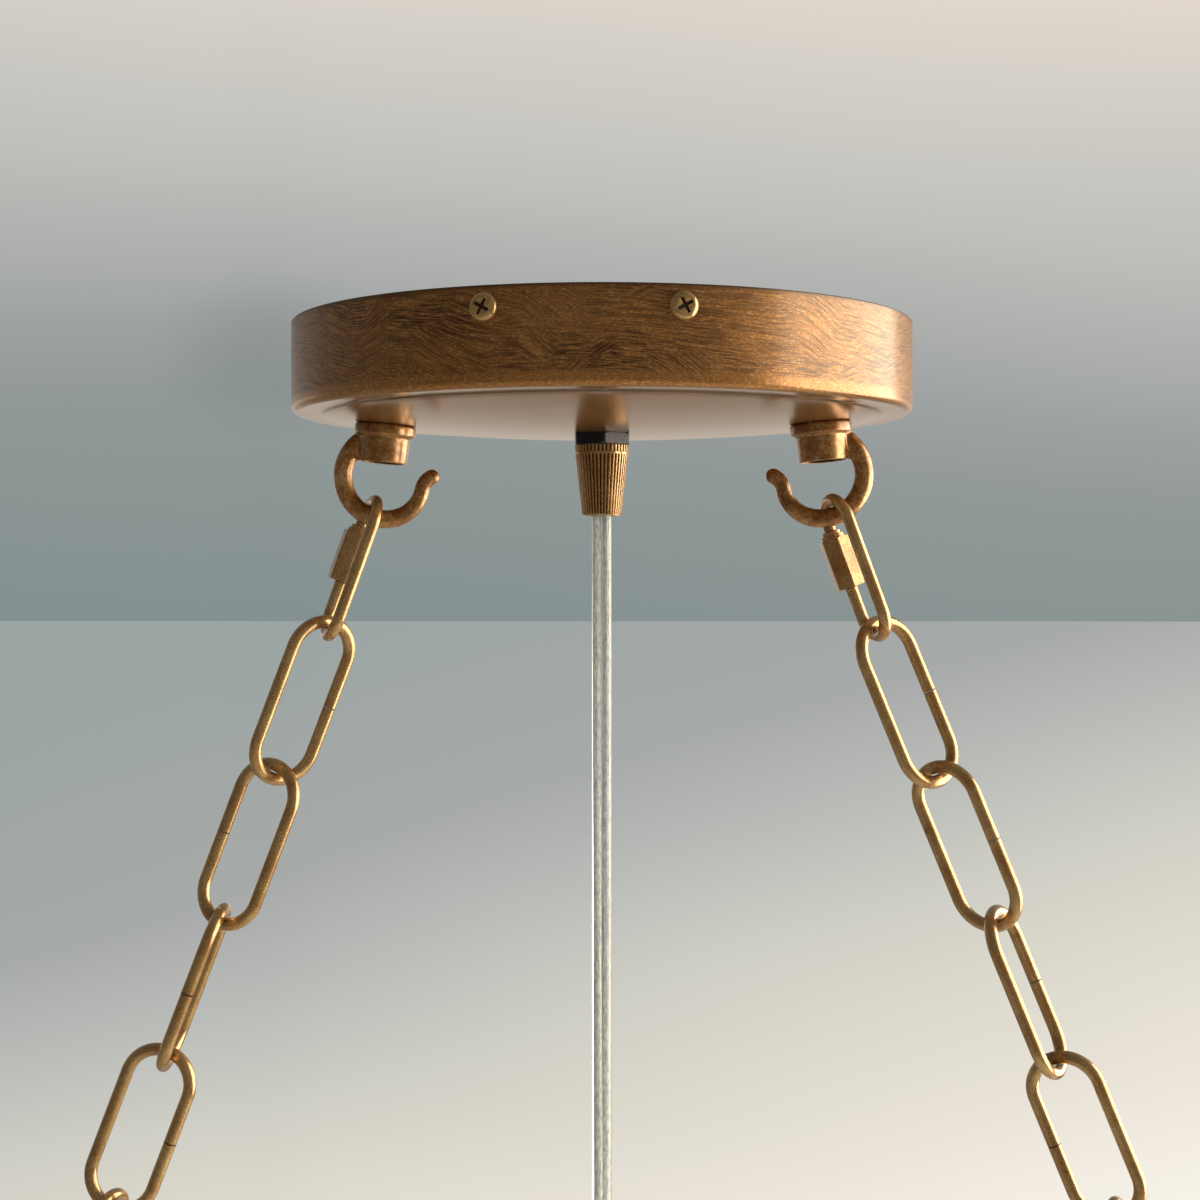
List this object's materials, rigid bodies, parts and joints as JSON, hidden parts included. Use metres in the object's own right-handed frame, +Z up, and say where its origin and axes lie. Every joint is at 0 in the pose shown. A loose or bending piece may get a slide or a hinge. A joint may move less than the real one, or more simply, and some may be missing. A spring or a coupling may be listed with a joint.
{
  "type": "chandelier suspension canopy",
  "caption": "Round ceiling canopy with hooks, quick links, chains and a clear cable in a cord grip, to hang a rectangular chandelier.",
  "frame": {"origin": "centre of the canopy's rim, on the ceiling", "axes": "+Z up, +X along the hooks to the right, -Y to the front, where the picture was taken from"},
  "size_m": [0.3284, 0.18, 0.2998],
  "materials": {
    "canopy": "brushed antique gold glaze",
    "canopy_screw": "antique gold",
    "hook": "mottled antique gold on a casting",
    "chain": "satin antique gold",
    "quick_link": "satin antique gold",
    "sleeve": "satin antique gold",
    "grip_nut": "antique gold, ribbed",
    "grip_bush": "pale satin",
    "grip_collar": "black",
    "cable": "clear jacket over tinned braids",
    "zinc_plate": "zinc plated",
    "brass_hardware": "plain",
    "brass_tube": "threaded",
    "terminal_block": "moulded",
    "live_lead": "brown insulation",
    "neutral_lead": "blue insulation",
    "earth_lead": "green and yellow insulation"
  },
  "bodies": {
    "canopy_assembly": {"cable": "cable", "cable_upper_end": "cable", "canopy": "canopy", "canopy_screw_front_left": "canopy_screw", "canopy_screw_front_right": "canopy_screw", "canopy_screw_rear_left": "canopy_screw", "canopy_screw_rear_right": "canopy_screw", "earth_lead": "earth_lead", "earth_ring_terminal": "brass_hardware", "earth_screw": "brass_hardware", "grip_bush": "grip_bush", "grip_collar": "grip_collar", "grip_lock_nut": "zinc_plate", "grip_nut": "grip_nut", "grip_tube": "brass_tube", "hook_left": "hook", "hook_lock_washer_left": "zinc_plate", "hook_lock_washer_right": "zinc_plate", "hook_nut_left": "zinc_plate", "hook_nut_right": "zinc_plate", "hook_right": "hook", "hook_tube_left": "brass_tube", "hook_tube_right": "brass_tube", "live_lead": "live_lead", "lower_grip_bush": "grip_bush", "lower_grip_collar": "grip_collar", "lower_grip_nut": "grip_nut", "lower_grip_tube": "brass_tube", "mounting_bracket": "zinc_plate", "neutral_lead": "neutral_lead", "terminal_block": "terminal_block", "terminal_block_screw": "zinc_plate", "terminal_screws": "brass_hardware"},
    "quick_link_left": {"quick_link_left": "quick_link"},
    "quick_link_sleeve_left": {"quick_link_sleeve_left": "sleeve"},
    "chain_link_left_1": {"chain_link_left_1": "chain"},
    "chain_link_left_2": {"chain_link_left_2": "chain"},
    "chain_link_left_3": {"chain_link_left_3": "chain"},
    "chain_link_left_4": {"chain_link_left_4": "chain"},
    "lower_quick_link_left": {"lower_quick_link_left": "quick_link"},
    "lower_quick_link_sleeve_left": {"lower_quick_link_sleeve_left": "sleeve"},
    "quick_link_right": {"quick_link_right": "quick_link"},
    "quick_link_sleeve_right": {"quick_link_sleeve_right": "sleeve"},
    "chain_link_right_1": {"chain_link_right_1": "chain"},
    "chain_link_right_2": {"chain_link_right_2": "chain"},
    "chain_link_right_3": {"chain_link_right_3": "chain"},
    "chain_link_right_4": {"chain_link_right_4": "chain"},
    "lower_quick_link_right": {"lower_quick_link_right": "quick_link"},
    "lower_quick_link_sleeve_right": {"lower_quick_link_sleeve_right": "sleeve"}
  },
  "joints": [
    {"name": "quick_link_swing_left", "type": "hinge", "parent": "canopy_assembly", "child": "quick_link_left", "pos_m": [-0.06372, 0, -0.04326], "axis": [0, 1, 0], "range_deg": [-28, 40]},
    {"name": "quick_link_sleeve_screw_left", "type": "slide", "parent": "quick_link_left", "child": "quick_link_sleeve_left", "axis": [-0.342, 0, -0.9397], "range_m": [0, 0.0085]},
    {"name": "chain_link_left_1_swing", "type": "hinge", "parent": "quick_link_left", "child": "chain_link_left_1", "pos_m": [-0.08102, 0, -0.08998], "axis": [0.352, -0.9272, -0.1281], "range_deg": [-30, 30]},
    {"name": "chain_link_left_2_swing", "type": "hinge", "parent": "chain_link_left_1", "child": "chain_link_left_2", "pos_m": [-0.09722, 0, -0.13241], "axis": [0.649, 0.7193, -0.2478], "range_deg": [-30, 30]},
    {"name": "chain_link_left_3_swing", "type": "hinge", "parent": "chain_link_left_2", "child": "chain_link_left_3", "pos_m": [-0.1134, 0, -0.17478], "axis": [0.8324, -0.454, -0.3179], "range_deg": [-30, 30]},
    {"name": "chain_link_left_4_swing", "type": "hinge", "parent": "chain_link_left_3", "child": "chain_link_left_4", "pos_m": [-0.12958, 0, -0.21715], "axis": [-0.0489, 0.9986, 0.0187], "range_deg": [-30, 30]},
    {"name": "lower_quick_link_left_swing", "type": "hinge", "parent": "chain_link_left_4", "child": "lower_quick_link_left", "pos_m": [-0.14576, 0, -0.25951], "axis": [0.9251, -0.1392, -0.3533], "range_deg": [-30, 30]},
    {"name": "lower_quick_link_sleeve_screw_left", "type": "slide", "parent": "lower_quick_link_left", "child": "lower_quick_link_sleeve_left", "axis": [-0.3567, 0, -0.9342], "range_m": [0, 0.0085]},
    {"name": "quick_link_swing_right", "type": "hinge", "parent": "canopy_assembly", "child": "quick_link_right", "pos_m": [0.06372, 0, -0.04326], "axis": [0, -1, 0], "range_deg": [-28, 40]},
    {"name": "quick_link_sleeve_screw_right", "type": "slide", "parent": "quick_link_right", "child": "quick_link_sleeve_right", "axis": [0.342, 0, -0.9397], "range_m": [0, 0.0085]},
    {"name": "chain_link_right_1_swing", "type": "hinge", "parent": "quick_link_right", "child": "chain_link_right_1", "pos_m": [0.08102, 0, -0.08998], "axis": [0.352, -0.9272, 0.1281], "range_deg": [-30, 30]},
    {"name": "chain_link_right_2_swing", "type": "hinge", "parent": "chain_link_right_1", "child": "chain_link_right_2", "pos_m": [0.09818, 0, -0.13204], "axis": [0.6988, 0.6561, 0.2852], "range_deg": [-30, 30]},
    {"name": "chain_link_right_3_swing", "type": "hinge", "parent": "chain_link_right_2", "child": "chain_link_right_3", "pos_m": [0.11532, 0, -0.17402], "axis": [0.6881, -0.6691, 0.2808], "range_deg": [-30, 30]},
    {"name": "chain_link_right_4_swing", "type": "hinge", "parent": "chain_link_right_3", "child": "chain_link_right_4", "pos_m": [0.13245, 0, -0.21601], "axis": [0.3913, 0.9063, 0.1597], "range_deg": [-30, 30]},
    {"name": "lower_quick_link_right_swing", "type": "hinge", "parent": "chain_link_right_4", "child": "lower_quick_link_right", "pos_m": [0.14959, 0, -0.258], "axis": [0.8322, -0.4384, 0.3396], "range_deg": [-30, 30]},
    {"name": "lower_quick_link_sleeve_screw_right", "type": "slide", "parent": "lower_quick_link_right", "child": "lower_quick_link_sleeve_right", "axis": [0.3778, 0, -0.9259], "range_m": [0, 0.0085]}
  ]
}
